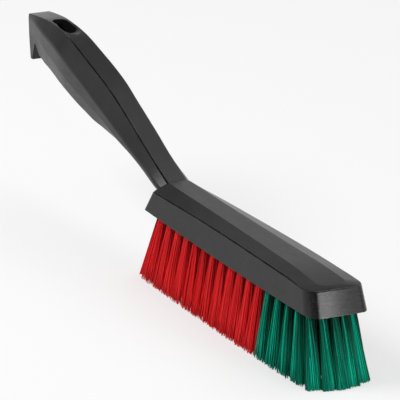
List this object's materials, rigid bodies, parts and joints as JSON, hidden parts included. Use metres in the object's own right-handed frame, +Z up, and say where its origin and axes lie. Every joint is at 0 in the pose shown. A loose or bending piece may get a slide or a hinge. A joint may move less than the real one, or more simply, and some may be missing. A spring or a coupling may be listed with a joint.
{
  "type": "stiff hand brush",
  "caption": "Stiff hand brush: a long tuft block and an arched, hooked grip moulded in one, with rows of flared bristle tufts in two colours.",
  "frame": {"origin": "centre of the bounding box, at the plane of the bristle tips that the brush stands on", "axes": "+X towards the nose of the tuft block, the grip running back to -X, +Y across the block, +Z up"},
  "size_m": [0.3386, 0.04, 0.096],
  "materials": {
    "black_plastic": "satin moulded plastic, black",
    "red_filament": "stiff extruded filament, red",
    "green_filament": "stiff extruded filament, green"
  },
  "bodies": {
    "root": {"brush_body": "black_plastic", "green_tuft_left_13": "green_filament", "green_tuft_left_14": "green_filament", "green_tuft_left_15": "green_filament", "green_tuft_left_16": "green_filament", "green_tuft_middle_14": "green_filament", "green_tuft_middle_15": "green_filament", "green_tuft_middle_16": "green_filament", "green_tuft_middle_17": "green_filament", "green_tuft_nose_01": "green_filament", "green_tuft_nose_02": "green_filament", "green_tuft_nose_03": "green_filament", "green_tuft_nose_04": "green_filament", "green_tuft_nose_05": "green_filament", "green_tuft_right_13": "green_filament", "green_tuft_right_14": "green_filament", "green_tuft_right_15": "green_filament", "green_tuft_right_16": "green_filament", "red_tuft_heel_01": "red_filament", "red_tuft_heel_02": "red_filament", "red_tuft_left_01": "red_filament", "red_tuft_left_02": "red_filament", "red_tuft_left_03": "red_filament", "red_tuft_left_04": "red_filament", "red_tuft_left_05": "red_filament", "red_tuft_left_06": "red_filament", "red_tuft_left_07": "red_filament", "red_tuft_left_08": "red_filament", "red_tuft_left_09": "red_filament", "red_tuft_left_10": "red_filament", "red_tuft_left_11": "red_filament", "red_tuft_left_12": "red_filament", "red_tuft_middle_01": "red_filament", "red_tuft_middle_02": "red_filament", "red_tuft_middle_03": "red_filament", "red_tuft_middle_04": "red_filament", "red_tuft_middle_05": "red_filament", "red_tuft_middle_06": "red_filament", "red_tuft_middle_07": "red_filament", "red_tuft_middle_08": "red_filament", "red_tuft_middle_09": "red_filament", "red_tuft_middle_10": "red_filament", "red_tuft_middle_11": "red_filament", "red_tuft_middle_12": "red_filament", "red_tuft_middle_13": "red_filament", "red_tuft_right_01": "red_filament", "red_tuft_right_02": "red_filament", "red_tuft_right_03": "red_filament", "red_tuft_right_04": "red_filament", "red_tuft_right_05": "red_filament", "red_tuft_right_06": "red_filament", "red_tuft_right_07": "red_filament", "red_tuft_right_08": "red_filament", "red_tuft_right_09": "red_filament", "red_tuft_right_10": "red_filament", "red_tuft_right_11": "red_filament", "red_tuft_right_12": "red_filament"}
  },
  "joints": []
}
